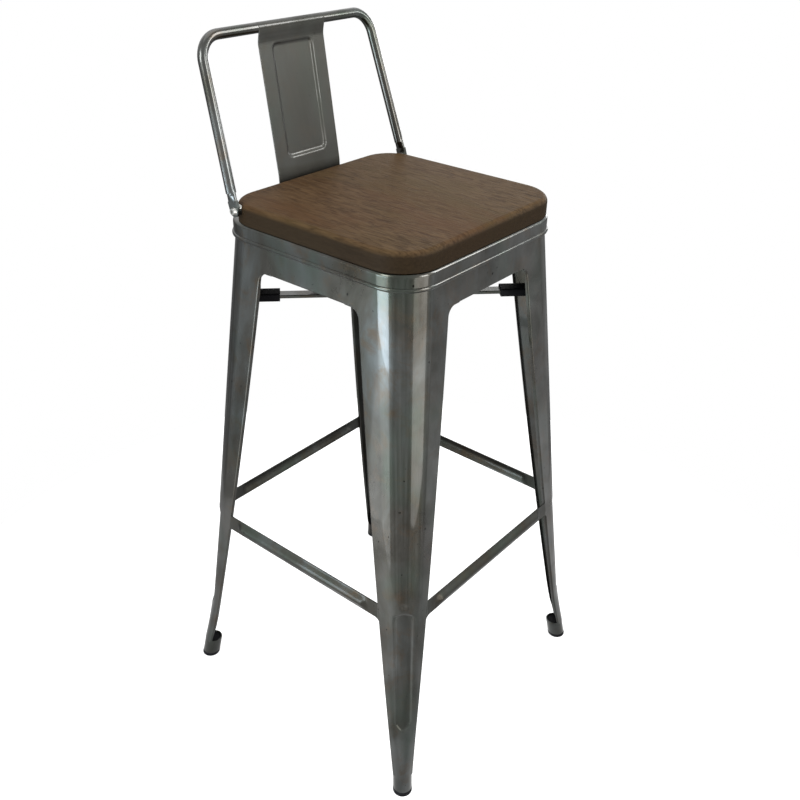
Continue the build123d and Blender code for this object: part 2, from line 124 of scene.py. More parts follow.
# Flute pressed into each leg's corner below the footrest, with a dimple at its top. Across the corner its
# size is an angle in degrees for the mesh and a distance for the material.
FLUTE_LOW = 106.0
FLUTE_HIGH = 292.0
FLUTE_DEPTH = 2.2
FLUTE_HALF_ANGLE = 22.0
FLUTE_HALF_WIDTH = 14.5
FLUTE_END_CURVE = 0.042
FLUTE_LOW_CURVE = 0.020
FLUTE_HIGH_CURVE = 0.012
FLUTE_EASE = 5.0
DIMPLE_Z = 303.0
DIMPLE_RADIUS = 6.0
DIMPLE_DEPTH = 1.5
DIMPLE_PER_DEGREE = 0.62

# Feet
FOOT_RADIUS = 13.3
COLLAR_RADIUS = 13.1
COLLAR_WALL = 1.8
COLLAR_TOP = 32.0
COLLAR_BOTTOM = 6.2
FOOT_STEM_TOP = 30.0
FOOT_STEPS = 48

# Footrest rails
RAIL_TOP = 296.0
RAIL_BOTTOM = 274.0
RAIL_BULGE = 5.0
RAIL_FLAT_BULGE = 0.2
RAIL_FLAT_LENGTH = 16.0
RAIL_BLEND_LENGTH = 12.0
RAIL_OVERLAP = 2.0
RAIL_END_EASE = 30.0
RAIL_STEPS = 18
RAIL_FILLET_BELOW = 7.0
RAIL_FILLET_ABOVE = 3.0

# Backrest: the tube lies in one plane that leans back
BACK_REF_Y = 116.6
BACK_REF_Z = 760.0
BACK_RAKE = 0.303
TUBE_RADIUS = 6.35
TUBE_TOP_Z = 945.3

# Seat frame under the wood
FRAME_TOP = 737.0
FRAME_BOTTOM = 715.5
FRAME_HALF = 155.2
FRAME_CORNER = 48.0
FRAME_ROLL = 4.5
FRAME_OPENING_HALF = 112.0
FRAME_OPENING_CORNER = 30.0
FRAME_CORNER_STEPS = 32
BEAD_OUT = 1.9
BEAD_HALF_HEIGHT = 2.7

# Splat: a foot under the seat, a sheet that bends back and leans, and a top that wraps over the tube
SPLAT_HALF = 57.0
SPLAT_BASE_Y = 143.3
SPLAT_BEND_Z = 766.0
SPLAT_BEND_REACH = 6.0
SPLAT_TOP_FLAT_Z = 925.0
SPLAT_TOP_FLAT_Y = 169.0
SPLAT_FOOT_Y = 119.0
SPLAT_FOOT_BEND = 1.6
SPLAT_TOP_Z = 943.5
SPLAT_COLUMNS = 76
SPLAT_ROWS = 102
SPLAT_WRAP_FROM = -14.0
SPLAT_WRAP_SWEEP = 84.0
SPLAT_WRAP_STEPS = 12

# Panel pressed into the splat
PANEL_WIDTH = 72.0
PANEL_Z = (786.0, 926.0)
PANEL_DEPTH = 2.4
PANEL_CORNER = 9.0
PANEL_SLOPE = 3.6


# ---------------------------------------------------------------- node helpers

class Nodes:
    """A node tree under construction: short calls that add nodes and return their outputs."""

    def __init__(self, tree):
        self.tree = tree
        self.tree.nodes.clear()

    def link(self, source, target):
        self.tree.links.new(source, target)

    def feed(self, socket, value):
        """Links an output into a socket, or sets the socket to a number or a colour."""
        if isinstance(value, bpy.types.NodeSocket):
            self.link(value, socket)
        elif isinstance(value, tuple):
            socket.default_value = (*value, 1.0)
        else:
            socket.default_value = value

    def split(self, vector):
        """The X, Y and Z of a vector."""
        node = self.tree.nodes.new("ShaderNodeSeparateXYZ")
        self.link(vector, node.inputs[0])
        return node.outputs["X"], node.outputs["Y"], node.outputs["Z"]

    def noise(self, vector, scale, detail=2.0, rough=0.5, twist=0.0):
        node = self.tree.nodes.new("ShaderNodeTexNoise")
        node.inputs["Scale"].default_value = scale
        node.inputs["Detail"].default_value = detail
        node.inputs["Roughness"].default_value = rough
        node.inputs["Distortion"].default_value = twist
        self.link(vector, node.inputs["Vector"])
        return node.outputs["Fac"]

    def ramp(self, source, stops):
        node = self.tree.nodes.new("ShaderNodeValToRGB")
        ramp = node.color_ramp
        while len(ramp.elements) < len(stops):
            ramp.elements.new(0.5)
        for element, (position, color) in zip(ramp.elements, stops):
            red, green, blue = color if isinstance(color, tuple) else (color, color, color)
            element.position = position
            element.color = (red, green, blue, 1.0)
        self.link(source, node.inputs["Fac"])
        return node.outputs["Color"]

    def mix(self, factor, first, second, blend="MIX"):
        """Mixes two colours, whose sockets are the node's inputs 6 and 7."""
        node = self.tree.nodes.new("ShaderNodeMix")
        node.data_type = "RGBA"
        node.blend_type = blend
        self.feed(node.inputs[0], factor)
        self.feed(node.inputs[6], first)
        self.feed(node.inputs[7], second)
        return node.outputs[2]

    def math(self, kind, first, second=0.0):
        node = self.tree.nodes.new("ShaderNodeMath")
        node.operation = kind
        self.feed(node.inputs[0], first)
        self.feed(node.inputs[1], second)
        return node.outputs[0]

    def span(self, source, low, high, start=0.0, end=1.0, curve="LINEAR"):
        """Carries a value between start and end over to low to high, and holds it there beyond them."""
        node = self.tree.nodes.new("ShaderNodeMapRange")
        node.interpolation_type = curve
        node.inputs["From Min"].default_value = start
        node.inputs["From Max"].default_value = end
        node.inputs["To Min"].default_value = low
        node.inputs["To Max"].default_value = high
        self.link(source, node.inputs["Value"])
        return node.outputs["Result"]

    def bump(self, height, distance, strength=1.0, below=None):
        node = self.tree.nodes.new("ShaderNodeBump")
        node.inputs["Distance"].default_value = distance
        node.inputs["Strength"].default_value = strength
        self.link(height, node.inputs["Height"])
        if below is not None:
            self.link(below, node.inputs["Normal"])
        return node.outputs["Normal"]


class Shader(Nodes):
    """A node material with one Principled surface, laid out in the stool's own coordinates."""

    def __init__(self, name):
        self.material = bpy.data.materials.new(name)
        self.material.use_nodes = True
        super().__init__(self.material.node_tree)
        output = self.tree.nodes.new("ShaderNodeOutputMaterial")
        self.surface = self.tree.nodes.new("ShaderNodeBsdfPrincipled")
        self.link(self.surface.outputs["BSDF"], output.inputs["Surface"])
        self.place = self.tree.nodes.new("ShaderNodeTexCoord").outputs["Object"]

    def stretch(self, scale):
        """The place on the stool with each axis scaled, for marks that run along one of them."""
        node = self.tree.nodes.new("ShaderNodeMapping")
        node.inputs["Scale"].default_value = scale
        self.link(self.place, node.inputs["Vector"])
        return node.outputs["Vector"]

    def set(self, **values):
        """Sets the surface's sockets by name, with an underscore for each space."""
        for name, value in values.items():
            self.feed(self.surface.inputs[name.replace("_", " ")], value)


# ---------------------------------------------------------------- areas of the steel

def splat_area(s):
    """1 on the splat, which has a duller finish than the rest of the steel, and 0 elsewhere."""
    x, _, z = s.split(s.place)
    across = s.math("LESS_THAN", s.math("ABSOLUTE", x), (SPLAT_HALF + 0.5) * MM)
    above = s.math("GREATER_THAN", z, (FRAME_TOP + SHEET + 1.0) * MM)
    return s.math("MULTIPLY", across, above)


def off_diagonal(s, x, y):
    """How much the sizes of X and Y differ: 0 in the middle of each leg's corner."""
    return s.math("ABSOLUTE", s.math("SUBTRACT", s.math("ABSOLUTE", x), s.math("ABSOLUTE", y)))


def rail_shade_and_dull_area(s):
    """1 on the footrest rails, which feet have dulled and whose colour carries painted shade, and 0
    elsewhere.
    """
    x, y, z = s.split(s.place)
    middle = (RAIL_TOP + RAIL_BOTTOM) / 2
    high = s.math("ABSOLUTE", s.math("SUBTRACT", z, middle * MM))
    level = s.math("LESS_THAN", high, (RAIL_TOP - RAIL_BOTTOM) * 0.75 * MM)
    beyond = s.math("GREATER_THAN", off_diagonal(s, x, y), flange_width(middle) * MM)
    return s.math("MULTIPLY", level, beyond)


def flute_shade_and_highlight_areas(s):
    """Masks for painted shade on the floor of the flute in each leg's corner and for a painted highlight
    along its edge.

    The flute's ends are curved, and both areas fade out over 3 mm there.
    """
    x, y, z = s.split(s.place)
    off = off_diagonal(s, x, y)
    curve = s.math("MULTIPLY", s.math("MULTIPLY", off, off), FLUTE_END_CURVE / MM)
    above = s.math("SUBTRACT", s.math("SUBTRACT", z, curve), FLUTE_LOW * MM)
    below = s.math("SUBTRACT", FLUTE_HIGH * MM, s.math("ADD", z, curve))
    in_low, in_high = (s.span(distance, 0.0, 1.0, 0.0, 3.0 * MM) for distance in (above, below))
    along = s.math("MULTIPLY", in_low, in_high)
    reach = s.math("DIVIDE", off, 2.0 * FLUTE_HALF_WIDTH * MM)
    floor = s.math("MULTIPLY", along, s.ramp(reach, ((0.38, 1.0), (0.48, 0.0))))
    edge = s.math("MULTIPLY", along, s.ramp(reach, ((0.44, 0.0), (0.52, 1.0), (0.62, 0.0))))
    return floor, edge


# ---------------------------------------------------------------- materials

def make_gunmetal():
    """Raw steel under a glossy clear coat: cloudy grey, stained brown and green, with fine rolling marks,
    painted shade and highlight on the flutes and painted shade on the rails.
    """
    s = Shader("gunmetal")

    # the steel itself: clouds, rolling marks, stains and specks
    cloud = s.noise(s.stretch((1.0, 1.0, 0.45)), 13.0, detail=5.0, rough=0.6, twist=0.8)
    tone = s.ramp(cloud, (
        (0.30, (0.021, 0.019, 0.014)), (0.45, (0.039, 0.037, 0.030)),
        (0.56, (0.051, 0.054, 0.050)), (0.70, (0.072, 0.079, 0.078)),
    ))
    streak = s.noise(s.stretch((1.0, 1.0, 0.05)), 190.0, detail=3.0)
    color = s.mix(s.span(streak, 0.0, 0.35), tone, (0.026, 0.025, 0.021))
    brown = s.ramp(s.noise(s.place, 30.0, detail=6.0, rough=0.7, twist=0.5), ((0.52, 0.0), (0.66, 1.0)))
    color = s.mix(s.math("MULTIPLY", brown, 0.6), color, (0.052, 0.034, 0.018))
    green = s.ramp(s.noise(s.stretch((1.0, 1.0, 0.6)), 17.0, detail=3.0), ((0.50, 0.0), (0.66, 1.0)))
    color = s.mix(s.math("MULTIPLY", green, 0.45), color, (0.034, 0.052, 0.040))
    dots = s.ramp(s.noise(s.place, 210.0, detail=0.0), ((0.84, 0.0), (0.88, 1.0)))
    color = s.mix(dots, color, (0.006, 0.006, 0.005))

    # parts with their own treatment: painted shade on the pressed flutes' floors and a painted highlight on
    # their edges, painted shade and a duller finish on the footrest rails, and the satin splat
    flute, flute_edge_highlight = flute_shade_and_highlight_areas(s)
    # painted shade: the flute's floor is darkened 34% toward near-black; painted highlight: its edge is
    # lightened 28% toward pale grey
    color = s.mix(s.math("MULTIPLY", flute, 0.34), color, (0.018, 0.018, 0.016))
    color = s.mix(s.math("MULTIPLY", flute_edge_highlight, 0.28), color, (0.105, 0.107, 0.102))
    rail = rail_shade_and_dull_area(s)
    # painted shade: the rails are darkened 35% toward near-black
    color = s.mix(s.math("MULTIPLY", rail, 0.35), color, (0.020, 0.019, 0.016))
    satin = splat_area(s)
    color = s.mix(s.math("MULTIPLY", satin, 0.7), color, (0.048, 0.048, 0.042))
    rough = s.mix(s.math("MAXIMUM", satin, rail), s.span(cloud, 0.22, 0.36), (0.45, 0.45, 0.45))

    # the clear coat: patchy, gone at the specks and thinner where the finish is dull
    patchy = s.ramp(
        s.noise(s.stretch((1.0, 1.0, 0.7)), 24.0, detail=4.0, rough=0.6, twist=0.6),
        ((0.40, 1.0), (0.68, 0.45)),
    )
    worn = s.math("MAXIMUM", s.math("MULTIPLY", flute, 0.25), s.math("MULTIPLY", rail, 0.7))
    worn = s.math("MAXIMUM", worn, s.math("MULTIPLY", satin, 0.3))
    coat = s.mix(s.math("MAXIMUM", dots, worn), patchy, (0.0, 0.0, 0.0))

    # the sheet's slight waves and its fine grain
    wave = s.noise(s.stretch((1.0, 1.0, 0.4)), 16.0, detail=1.0)
    fleck = s.noise(s.place, 260.0, detail=2.0)
    normal = s.bump(wave, 0.0009, 0.38)
    normal = s.bump(fleck, 0.00003, 0.6, below=normal)
    s.set(Base_Color=color, Metallic=1.0, Roughness=rough, Normal=normal)
    s.set(Coat_Weight=coat, Coat_Roughness=0.05, Coat_IOR=1.45)
    return s.material


def make_wood():
    """Dark stained oak: fine wavy grain front to back, open pores, and sides darkened toward near-black,
    partly a darker stain and partly painted shade.
    """
    s = Shader("seat_wood")
    board = s.noise(s.stretch((1.0, 0.22, 0.4)), 9.0, detail=3.0, twist=0.4)
    patch = s.noise(s.stretch((1.0, 0.6, 1.0)), 15.0, detail=2.0)
    ring = s.noise(s.stretch((1.0, 0.14, 1.0)), 300.0, detail=4.0, rough=0.55, twist=0.9)
    pore = s.noise(s.stretch((1.0, 0.08, 1.0)), 620.0, detail=2.0)
    tone = s.ramp(board, (
        (0.30, (0.046, 0.025, 0.011)), (0.42, (0.055, 0.028, 0.012)),
        (0.52, (0.050, 0.032, 0.012)), (0.70, (0.056, 0.034, 0.016)),
    ))
    strength = s.span(s.ramp(patch, ((0.40, 0.0), (0.58, 1.0))), 0.12, 0.72)
    light = s.ramp(ring, ((0.36, 0.0), (0.50, 0.6), (0.66, 1.0)))
    waved = s.mix(light, (0.024, 0.013, 0.006), (0.074, 0.045, 0.022))
    grain = s.mix(strength, tone, waved)
    pores = s.ramp(pore, ((0.32, 0.0), (0.46, 1.0)))
    color = s.mix(s.span(pores, 0.6, 1.0), (0.018, 0.010, 0.006), grain)
    # painted shade: faces that turn away from up are mixed 88% toward near-black, partly a darker stain on
    # the sides and partly the shade the sides fall in
    upward = s.split(s.tree.nodes.new("ShaderNodeNewGeometry").outputs["Normal"])[2]
    face = s.ramp(upward, ((0.25, 0.0), (0.92, 1.0)))
    color = s.mix(face, s.mix(0.88, color, (0.010, 0.0065, 0.0032)), color)
    normal = s.bump(pores, 0.00012, 0.7)
    normal = s.bump(ring, 0.0004, 0.6, below=normal)
    s.set(Base_Color=color, Roughness=s.span(ring, 0.62, 0.50), Normal=normal, Specular_IOR_Level=0.05)
    return s.material


def make_rubber():
    """Matt black rubber with a fine grain."""
    s = Shader("rubber")
    cloud = s.noise(s.place, 45.0, detail=3.0)
    color = s.ramp(cloud, ((0.35, (0.004, 0.004, 0.005)), (0.7, (0.011, 0.011, 0.012))))
    normal = s.bump(s.noise(s.place, 900.0, detail=2.0), 0.00005, 0.6)
    s.set(Base_Color=color, Roughness=s.span(cloud, 0.55, 0.72), Normal=normal, Specular_IOR_Level=0.06)
    return s.material


def make_zinc():
    """Bright zinc on the bolts and screws, a little cloudy."""
    s = Shader("zinc_steel")
    cloud = s.noise(s.place, 120.0, detail=3.0)
    color = s.ramp(cloud, ((0.3, (0.34, 0.34, 0.32)), (0.7, (0.52, 0.52, 0.50))))
    normal = s.bump(s.noise(s.place, 1400.0), 0.00003, 0.5)
    s.set(Base_Color=color, Metallic=1.0, Roughness=s.span(cloud, 0.22, 0.36), Normal=normal)
    return s.material


def make_brass():
    """Turned brass of the threaded inserts."""
    s = Shader("insert_brass")
    cloud = s.noise(s.place, 150.0, detail=3.0)
    color = s.ramp(cloud, ((0.3, (0.48, 0.35, 0.15)), (0.7, (0.62, 0.48, 0.24))))
    s.set(Base_Color=color, Metallic=1.0, Roughness=s.span(cloud, 0.25, 0.4))
    return s.material


# ---------------------------------------------------------------- mesh helpers

def between(table, z):
    """Straight-line interpolation in a table of (height, value) rows."""
    for (z0, v0), (z1, v1) in zip(table, table[1:]):
        if z <= z1:
            return v0 + (v1 - v0) * (z - z0) / (z1 - z0)
    return table[-1][1]


def smooth(x):
    """Eases from 0 to 1 while x goes from 0 to 1."""
    x = min(max(x, 0.0), 1.0)
    return x * x * (3 - 2 * x)


def window(x, low, high, ease):
    """1 between low and high, easing to 0 over a distance of ease at each end."""
    return smooth((x - low) / ease + 0.5) * smooth((high - x) / ease + 0.5)


def rounded(corners):
    """A closed outline through corners (x, y, radius, steps), each one rounded by an arc."""
    points = []
    for i, (x, y, radius, steps) in enumerate(corners):
        here = Vector((x, y))
        back = (Vector(corners[i - 1][:2]) - here).normalized()
        ahead = (Vector(corners[(i + 1) % len(corners)][:2]) - here).normalized()
        half = back.angle(ahead) / 2
        start = here + back * (radius / math.tan(half))
        centre = here + (back + ahead).normalized() * (radius / math.sin(half))
        spoke = start - centre
        sweep = math.pi - 2 * half
        if back.x * ahead.y - back.y * ahead.x > 0:
            sweep = -sweep
        for k in range(steps + 1):
            turn = sweep * k / steps
            points.append((
                centre.x + spoke.x * math.cos(turn) - spoke.y * math.sin(turn),
                centre.y + spoke.x * math.sin(turn) + spoke.y * math.cos(turn),
            ))
    return points


class Skin:
    """Collects rings of points and the faces between them, in millimetres."""

    def __init__(self):
        self.points = []
        self.faces = []

    def ring(self, points):
        first = len(self.points)
        self.points.extend(points)
        return list(range(first, len(self.points)))

    def bridge(self, low, high):
        for i in range(len(low)):
            j = (i + 1) % len(low)
            self.faces.append((low[i], low[j], high[j], high[i]))

    def loft(self, rings, loop=False):
        """Skins closed rings in order, and joins the last ring to the first or closes both ends."""
        made = [self.ring(points) for points in rings]
        for low, high in zip(made, made[1:]):
            self.bridge(low, high)
        if loop:
            self.bridge(made[-1], made[0])
        else:
            self.faces.append(tuple(reversed(made[0])))
            self.faces.append(tuple(made[-1]))

    def finish(self, name, slot, stands_for):
        """Makes the piece: outward normals, smooth faces and crisp edges, material, body, replaced nodes."""
        mesh = bpy.data.meshes.new(name)
        mesh.from_pydata([Vector(point) * MM for point in self.points], [], self.faces)
        work = bmesh.new()
        work.from_mesh(mesh)
        bmesh.ops.remove_doubles(work, verts=work.verts, dist=WELD_DISTANCE * MM)
        bmesh.ops.dissolve_degenerate(work, edges=work.edges, dist=WELD_DISTANCE * MM)
        bmesh.ops.recalc_face_normals(work, faces=work.faces)
        work.to_mesh(mesh)
        work.free()
        mesh.polygons.foreach_set("use_smooth", [True] * len(mesh.polygons))
        mesh.set_sharp_from_angle(angle=math.radians(SHARP_ANGLE))
        mesh.materials.append(materials[slot])
        piece = bpy.data.objects.new(name, mesh)
        bpy.context.scene.collection.objects.link(piece)
        weighted = piece.modifiers.new("flat_faces_stay_flat", "WEIGHTED_NORMAL")
        weighted.keep_sharp = True
        weighted.weight = 60
        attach(piece, "root")
        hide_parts(*stands_for)


# ---------------------------------------------------------------- legs

def leg_out(z):
    """Distance of the legs' outer faces from the stool's middle plane at a height."""
    lean = LEG_REF_OUT + LEG_LEAN * (LEG_REF_Z - z)
    if z < KICK_Z:
        lean += KICK_CURVE * (KICK_Z - z) ** 2
    return lean


def flange_width(z):
    """Width of a leg's flange from the sharp outer corner: a parabola through three widths."""
    (z0, w0), (z1, w1), (z2, w2) = LEG_WIDTH_AT
    slope_low = (w1 - w0) / (z1 - z0)
    slope_high = (w2 - w1) / (z2 - z1)
    bend = (slope_high - slope_low) / (z2 - z0)
    return w0 + slope_low * (z - z0) + bend * (z - z0) * (z - z1)


def leg_levels():
    """Heights and flange widths of the leg's cross-sections, from the top down.

    They are closer together at both ends of the flute, where the pressed shape turns.
    """
    levels = [(z, APRON_LEG_WIDTH) for z in (LEG_TOP, 722.0, 710.0, 698.0, APRON_BOTTOM)]
    for step in range(1, BEND_STEPS + 1):
        drop = APRON_FILLET * (1 - math.cos(math.pi / 2 * step / BEND_STEPS))
        spread = APRON_FILLET * (1 - math.sin(math.pi / 2 * step / BEND_STEPS))
        levels.append((APRON_BOTTOM - drop, flange_width(APRON_BOTTOM - drop) + spread))
    lowest = APRON_BOTTOM - APRON_FILLET
    heights = [lowest + (LEG_BOTTOM - lowest) * step / LEG_STEPS for step in range(1, LEG_STEPS + 1)]
    flute_foot = (FLUTE_LOW - 5.0, FLUTE_LOW + 16.0)
    flute_head = (FLUTE_HIGH - 12.0, DIMPLE_Z + DIMPLE_RADIUS + 1.0)
    for low, high in (flute_foot, flute_head):
        heights = [z for z in heights if not low - 0.5 < z < high + 0.5]
        heights += [low + FINE_STEP * step for step in range(int((high - low) / FINE_STEP) + 1)]
    levels += [(z, flange_width(z)) for z in sorted(heights, reverse=True)]
    return levels


def corner_press(angle, z):
    """How far the corner's surface is pressed in: a long shallow flute and a dimple at its top."""
    off = abs(angle - 45.0)
    low = FLUTE_LOW + FLUTE_LOW_CURVE * off ** 2
    high = FLUTE_HIGH - FLUTE_HIGH_CURVE * off ** 2
    across = window(off, -FLUTE_HALF_ANGLE, FLUTE_HALF_ANGLE, FLUTE_EASE)
    flute = FLUTE_DEPTH * window(z, low, high, FLUTE_EASE) * across
    away = math.hypot(off * DIMPLE_PER_DEGREE, z - DIMPLE_Z) / DIMPLE_RADIUS
    dimple = DIMPLE_DEPTH * smooth(1.0 - away)
    return flute + dimple


def leg_ring(z, width, sx, sy):
    """One cross-section of a leg: an L-shaped strip with a round corner and two folded lips."""
    out = leg_out(z)
    corner = between(LEG_CORNER_AT, z)
    full = window(z, LIP_FROM, APRON_BOTTOM - 1.5 * APRON_FILLET, LIP_EASE)
    lip = LIP_DEPTH_ENDS + (LIP_DEPTH - LIP_DEPTH_ENDS) * full
    edge = out - width
    inner = out - SHEET
    outline = rounded((
        (out - lip, edge, SMALL_ROUND, 1),
        (out, edge, LIP_ROUND, 5),
        (out, out, corner, 40),
        (edge, out, LIP_ROUND, 5),
        (edge, out - lip, SMALL_ROUND, 1),
        (edge + SHEET, out - lip, SMALL_ROUND, 1),
        (edge + SHEET, inner, 0.5, 2),
        (inner, inner, corner - SHEET, 40),
        (inner, edge + SHEET, 0.5, 2),
        (out - lip, edge + SHEET, SMALL_ROUND, 1),
    ))
    ring = []
    centre = out - corner
    for x, y in outline:
        if x > centre and y > centre:
            angle = math.degrees(math.atan2(y - centre, x - centre))
            press = corner_press(angle, z)
            x -= press * math.cos(math.radians(angle))
            y -= press * math.sin(math.radians(angle))
        ring.append((sx * x, sy * y, z))
    return ring


def foot_centre(z):
    """Centre line of the round foot, which carries the leg's splay down to the floor."""
    return leg_out(z) - FOOT_RADIUS


def turned(skin, profile, sx, sy, loop=False):
    """Turns a profile of (radius, height) about the leaning centre line of a foot."""
    rings = []
    for radius, z in profile:
        centre = foot_centre(z)
        rings.append([
            (
                sx * centre + radius * math.cos(math.tau * k / FOOT_STEPS),
                sy * centre + radius * math.sin(math.tau * k / FOOT_STEPS),
                z,
            )
            for k in range(FOOT_STEPS)
        ])
    skin.loft(rings, loop=loop)


def make_legs():
    """Each leg is a pressed channel with a round collar at its foot."""
    for name, (sx, sy) in CORNERS.items():
        skin = Skin()
        skin.loft([leg_ring(z, width, sx, sy) for z, width in leg_levels()])
        outer = COLLAR_RADIUS
        inner = COLLAR_RADIUS - COLLAR_WALL
        collar = (
            (outer - 0.5, COLLAR_BOTTOM), (outer - 0.1, COLLAR_BOTTOM + 0.2), (outer, COLLAR_BOTTOM + 0.8),
            (outer, 12.0), (outer, 18.0), (outer, 24.0), (outer, COLLAR_TOP - 0.8),
            (outer - 0.3, COLLAR_TOP - 0.2), (outer - 0.8, COLLAR_TOP),
            (inner + 0.3, COLLAR_TOP), (inner, COLLAR_TOP - 0.4), (inner, 18.0), (inner, COLLAR_BOTTOM),
        )
        turned(skin, collar, sx, sy, loop=True)
        skin.finish(f"pressed_leg_{name}", "gunmetal", (f"leg_{name}",))


def make_feet():
    """Rubber plugs: a tyre on the floor below the collar and a stem inside it."""
    stem = COLLAR_RADIUS - COLLAR_WALL - 0.1
    tyre = FOOT_RADIUS
    profile = (
        (tyre - 5.0, 0.0), (tyre - 1.4, 0.0), (tyre - 0.5, 0.35), (tyre, 1.3), (tyre, 5.0), (tyre - 0.2, 5.8),
        (tyre - 0.7, COLLAR_BOTTOM - 0.02), (stem, COLLAR_BOTTOM - 0.02), (stem, 12.0), (stem, 20.0),
        (stem, FOOT_STEM_TOP - 1.0), (stem - 1.0, FOOT_STEM_TOP), (stem - 4.0, FOOT_STEM_TOP - 0.6),
    )
    for name, (sx, sy) in CORNERS.items():
        skin = Skin()
        turned(skin, profile, sx, sy)
        skin.finish(f"rubber_foot_{name}", "rubber", (f"foot_{name}",))


# ---------------------------------------------------------------- apron plates

def make_aprons():
    """Plates between the leg tops, a hair longer than their gap so that the welded seams close."""
    up = Vector((0.0, 0.0, 1.0))
    profile = (
        (LEG_TOP, 0.0), (APRON_BOTTOM + 2.0, 0.0), (APRON_BOTTOM + 0.6, 0.2), (APRON_BOTTOM, 1.2),
        (APRON_BOTTOM, APRON_LIP), (APRON_BOTTOM + SHEET, APRON_LIP),
        (APRON_BOTTOM + SHEET, SHEET + 0.6), (APRON_BOTTOM + 2.4, SHEET), (LEG_TOP, SHEET),
    )
    for name, (ox, oy) in SIDES.items():
        outward = Vector((ox, oy, 0.0))
        along = Vector((-oy, ox, 0.0))
        rings = []
        for step in range(APRON_STEPS + 1):
            share = 2.0 * step / APRON_STEPS - 1.0
            ring = []
            for z, depth in profile:
                half = leg_out(z) - APRON_LEG_WIDTH + APRON_OVERLAP
                ring.append(tuple(outward * (leg_out(z) - depth) + along * (share * half) + up * z))
            rings.append(ring)
        skin = Skin()
        skin.loft(rings)
        skin.finish(f"apron_plate_{name}", "gunmetal", (f"apron_{name}",))


# ---------------------------------------------------------------- footrest rails

def rail_bulge(away):
    """Height of the pressed ridge at a distance from the rail's end."""
    rise = smooth((away - RAIL_FLAT_LENGTH) / RAIL_BLEND_LENGTH)
    return RAIL_FLAT_BULGE + (RAIL_BULGE - RAIL_FLAT_BULGE) * rise


def flare(away, radius):
    """How much a concave fillet adds at a distance from the corner it fills."""
    if away >= radius:
        return 0.0
    return radius - math.sqrt(radius ** 2 - (radius - away) ** 2)


def rail_spots(half):
    """Places along a rail of a half length, closer together towards its ends."""
    stations = [0.0, 0.4, 0.9, 1.6, 2.5, 3.6, 5.0, 7.0, 10.0, 13.0]
    stations += [14.0 + 1.5 * k for k in range(13)]
    stations += [40.0, 60.0, 85.0, 110.0]
    spots = [-half + away for away in stations if away < half]
    return spots + [0.0] + [-spot for spot in reversed(spots)]


def make_rails():
    """Strips with a pressed ridge, flat ends cut along the legs' edges, and a weld bead at each end."""
    up = Vector((0.0, 0.0, 1.0))
    mid_z = (RAIL_TOP + RAIL_BOTTOM) / 2
    half = leg_out(mid_z) - flange_width(mid_z)
    for name, (ox, oy) in SIDES.items():
        outward = Vector((ox, oy, 0.0))
        along = Vector((-oy, ox, 0.0))
        rings = []
        for spot in rail_spots(half):
            away = half - abs(spot)
            low = RAIL_BOTTOM - flare(away, RAIL_FILLET_BELOW)
            high = RAIL_TOP + flare(away, RAIL_FILLET_ABOVE)
            front = []
            back = []
            for k in range(RAIL_STEPS + 1):
                share = k / RAIL_STEPS
                z = low + (high - low) * share
                crest = math.sin(math.pi * share)
                crest = crest * (0.55 + 0.45 * crest)
                reach = leg_out(z) + rail_bulge(away) * crest
                end = leg_out(z) - flange_width(z) + RAIL_OVERLAP
                pull = spot * (1.0 + (end / half - 1.0) * smooth(1.0 - away / RAIL_END_EASE))
                place = outward * reach + along * pull + up * z
                front.append(tuple(place))
                back.append(tuple(place - outward * SHEET))
            rings.append(front + list(reversed(back)))
        skin = Skin()
        skin.loft(rings)
        skin.finish(f"footrest_rail_{name}", "gunmetal", (f"footrest_{name}",))


# ---------------------------------------------------------------- seat frame

def make_frame():
    """The pressed frame under the wood: a rolled rim, a skirt with a bead at its foot, a flange inside.

    Its section is a list of (half width, corner radius, height), from the bead's foot round to the inside.
    """
    inner = FRAME_HALF - SHEET
    inner_corner = FRAME_CORNER - SHEET
    profile = [(inner, inner_corner, FRAME_BOTTOM)]
    for k in range(BEND_STEPS + 1):
        turn = math.pi * k / BEND_STEPS - math.pi / 2
        out = BEAD_OUT * math.cos(turn)
        rise = BEAD_HALF_HEIGHT * (1 + math.sin(turn))
        profile.append((FRAME_HALF + out, FRAME_CORNER + out, FRAME_BOTTOM + rise))
    profile.append((FRAME_HALF, FRAME_CORNER, FRAME_BOTTOM + 2 * BEAD_HALF_HEIGHT + 1.0))
    for k in range(BEND_STEPS + 1):
        turn = math.pi / 2 * k / BEND_STEPS
        pull = FRAME_ROLL * (1 - math.cos(turn))
        drop = FRAME_ROLL * (1 - math.sin(turn))
        profile.append((FRAME_HALF - pull, FRAME_CORNER - pull, FRAME_TOP - drop))
    profile += [
        (FRAME_OPENING_HALF, FRAME_OPENING_CORNER, FRAME_TOP),
        (FRAME_OPENING_HALF, FRAME_OPENING_CORNER, FRAME_TOP - SHEET),
        (inner - 3.0, inner_corner - 3.0, FRAME_TOP - SHEET),
        (inner, inner_corner, FRAME_TOP - SHEET - 3.0),
    ]
    rings = []
    for half, corner, z in profile:
        square = ((half, half), (-half, half), (-half, -half), (half, -half))
        outline = rounded([(x, y, corner, FRAME_CORNER_STEPS) for x, y in square])
        rings.append([(x, y, z) for x, y in outline])
    skin = Skin()
    skin.loft(rings, loop=True)
    skin.finish("pressed_seat_frame", "gunmetal", ("seat_frame",))


# ---------------------------------------------------------------- splat

def tube_top_y():
    """How far back the middle of the tube's top bar is."""
    return BACK_REF_Y + BACK_RAKE * (TUBE_TOP_Z - BACK_REF_Z)


